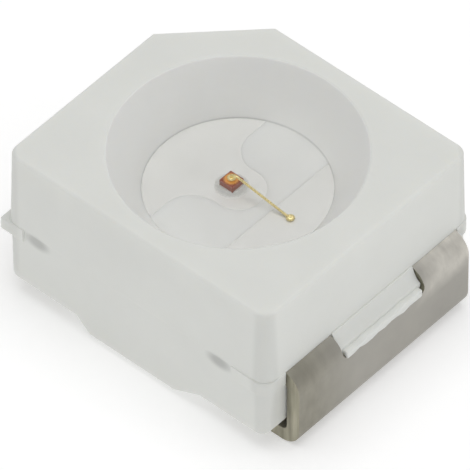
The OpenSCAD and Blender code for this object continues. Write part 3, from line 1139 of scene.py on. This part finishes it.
class LED_OT_resin(bpy.types.Operator):
    """Model the clear resin that fills the cup"""

    bl_idname = "led.resin"
    bl_label = "Resin"

    def execute(self, context):
        group = context.scene.led_resin
        resin = Millimetres(group)
        housing = Millimetres(context.scene.led_housing)
        slope = math.tan(context.scene.led_housing.cup_slope)
        edge = RESIN_HIGH.x + resin.overlap
        top = RESIN_HIGH.z
        low = LEAD_TOP - resin.overlap
        filling = add_cone("resin", (0, 0, low), edge - (top - low) * slope, edge, top - low)
        edit(filling)
        choose(filling, "faces", lambda face: face.normal.z > 0.9)
        rings = 12
        last = 0.02
        for ring in range(rings):
            outer = 1 - ring / rings
            inner = max(1 - (ring + 1) / rings, last)
            sink = resin.dip * (outer**2 - inner**2)
            bpy.ops.mesh.inset(thickness=edge * (outer - inner), depth=-sink)
        bpy.ops.object.mode_set(mode="OBJECT")
        finish_piece(filling, clear_resin(group.tint), "clear_resin", "encapsulant", smooth=30)
        return {"FINISHED"}


# Stage

class LED_OT_stage(bpy.types.Operator):
    """Set the floor, the lights and the camera"""

    bl_idname = "led.stage"
    bl_label = "Stage"

    def execute(self, context):
        stage = context.scene.led_stage
        context.scene.view_settings.view_transform = "Standard"
        self.floor(stage)
        self.surround(context, stage)
        self.softboxes(stage)
        self.camera(context, stage)
        return {"FINISHED"}

    def floor(self, stage):
        deselect_all()
        bpy.ops.mesh.primitive_plane_add(size=stage.floor_size)
        floor = keep_place("floor")
        floor.data.materials.append(lit_floor(stage.floor, stage.floor_glow))

    def surround(self, context, stage):
        world = bpy.data.worlds.new("surround")
        world.use_nodes = True
        background = world.node_tree.nodes["Background"]
        background.inputs["Color"].default_value = (1, 1, 1, 1)
        background.inputs["Strength"].default_value = stage.sky
        context.scene.world = world

    def softboxes(self, stage):
        """One softbox overhead, and a weaker one beside the anode end."""
        lift = stage.side_lift
        turn = stage.side_turn
        towards = Vector(
            (math.cos(turn) * math.cos(lift), math.sin(turn) * math.cos(lift), math.sin(lift))
        )
        self.softbox("overhead", AXIS_Z * stage.softbox_height, stage.softbox_size, stage.softbox)
        self.softbox("side", towards * stage.side_distance, stage.side_size, stage.side)

    def softbox(self, name, place, size, power):
        """A square softbox that faces the LED."""
        deselect_all()
        bpy.ops.object.light_add(type="AREA", location=place)
        light = bpy.context.object
        light.name = name
        light.rotation_mode = "QUATERNION"
        light.rotation_quaternion = (-place).to_track_quat("-Z", "Y")
        light.data.shape = "SQUARE"
        light.data.size = size
        light.data.energy = power

    def camera(self, context, stage):
        """A long lens that looks down on one corner, as in the photograph."""
        turn, lift = stage.azimuth, stage.elevation
        back = Vector(
            (math.sin(turn) * math.cos(lift), -math.cos(turn) * math.cos(lift), math.sin(lift))
        )
        right = Vector((math.cos(turn), math.sin(turn), 0))
        up = back.cross(right)
        aim = AXIS_Z * stage.aim_z - right * stage.aim_left - up * stage.aim_down
        deselect_all()
        bpy.ops.object.camera_add(location=aim + back * stage.distance)
        camera = bpy.context.object
        camera.rotation_mode = "QUATERNION"
        camera.rotation_quaternion = (-back).to_track_quat("-Z", "Y")
        camera.data.lens = stage.focal
        camera.data.sensor_width = 36.0
        camera.data.clip_start = 0.1 * stage.distance
        camera.data.clip_end = 100 * stage.distance
        context.scene.camera = camera


class LED_PT_tools(bpy.types.Panel):
    """The LED's pieces and its stage, in building order"""

    bl_label = "Surface-mount LED"
    bl_idname = "LED_PT_tools"
    bl_space_type = "VIEW_3D"
    bl_region_type = "UI"
    bl_category = "LED"

    def draw(self, context):
        for step in STEPS:
            self.layout.operator(step.bl_idname)


SETTINGS = {
    "led_housing": LedHousingSettings,
    "led_leads": LedLeadSettings,
    "led_chip": LedChipSettings,
    "led_resin": LedResinSettings,
    "led_stage": LedStageSettings,
}
STEPS = (LED_OT_stage, LED_OT_housing, LED_OT_leads, LED_OT_chip, LED_OT_bonds, LED_OT_resin)


def register():
    for name, group in SETTINGS.items():
        bpy.utils.register_class(group)
        setattr(bpy.types.Scene, name, PointerProperty(type=group))
    for step in STEPS:
        bpy.utils.register_class(step)
    bpy.utils.register_class(LED_PT_tools)


def unregister():
    bpy.utils.unregister_class(LED_PT_tools)
    for step in reversed(STEPS):
        bpy.utils.unregister_class(step)
    for name, group in reversed(SETTINGS.items()):
        delattr(bpy.types.Scene, name)
        bpy.utils.unregister_class(group)


def main():
    register()
    bpy.ops.led.stage()
    bpy.ops.led.housing()
    bpy.ops.led.leads()
    bpy.ops.led.chip()
    bpy.ops.led.bonds()
    bpy.ops.led.resin()


if __name__ == "__main__":
    main()
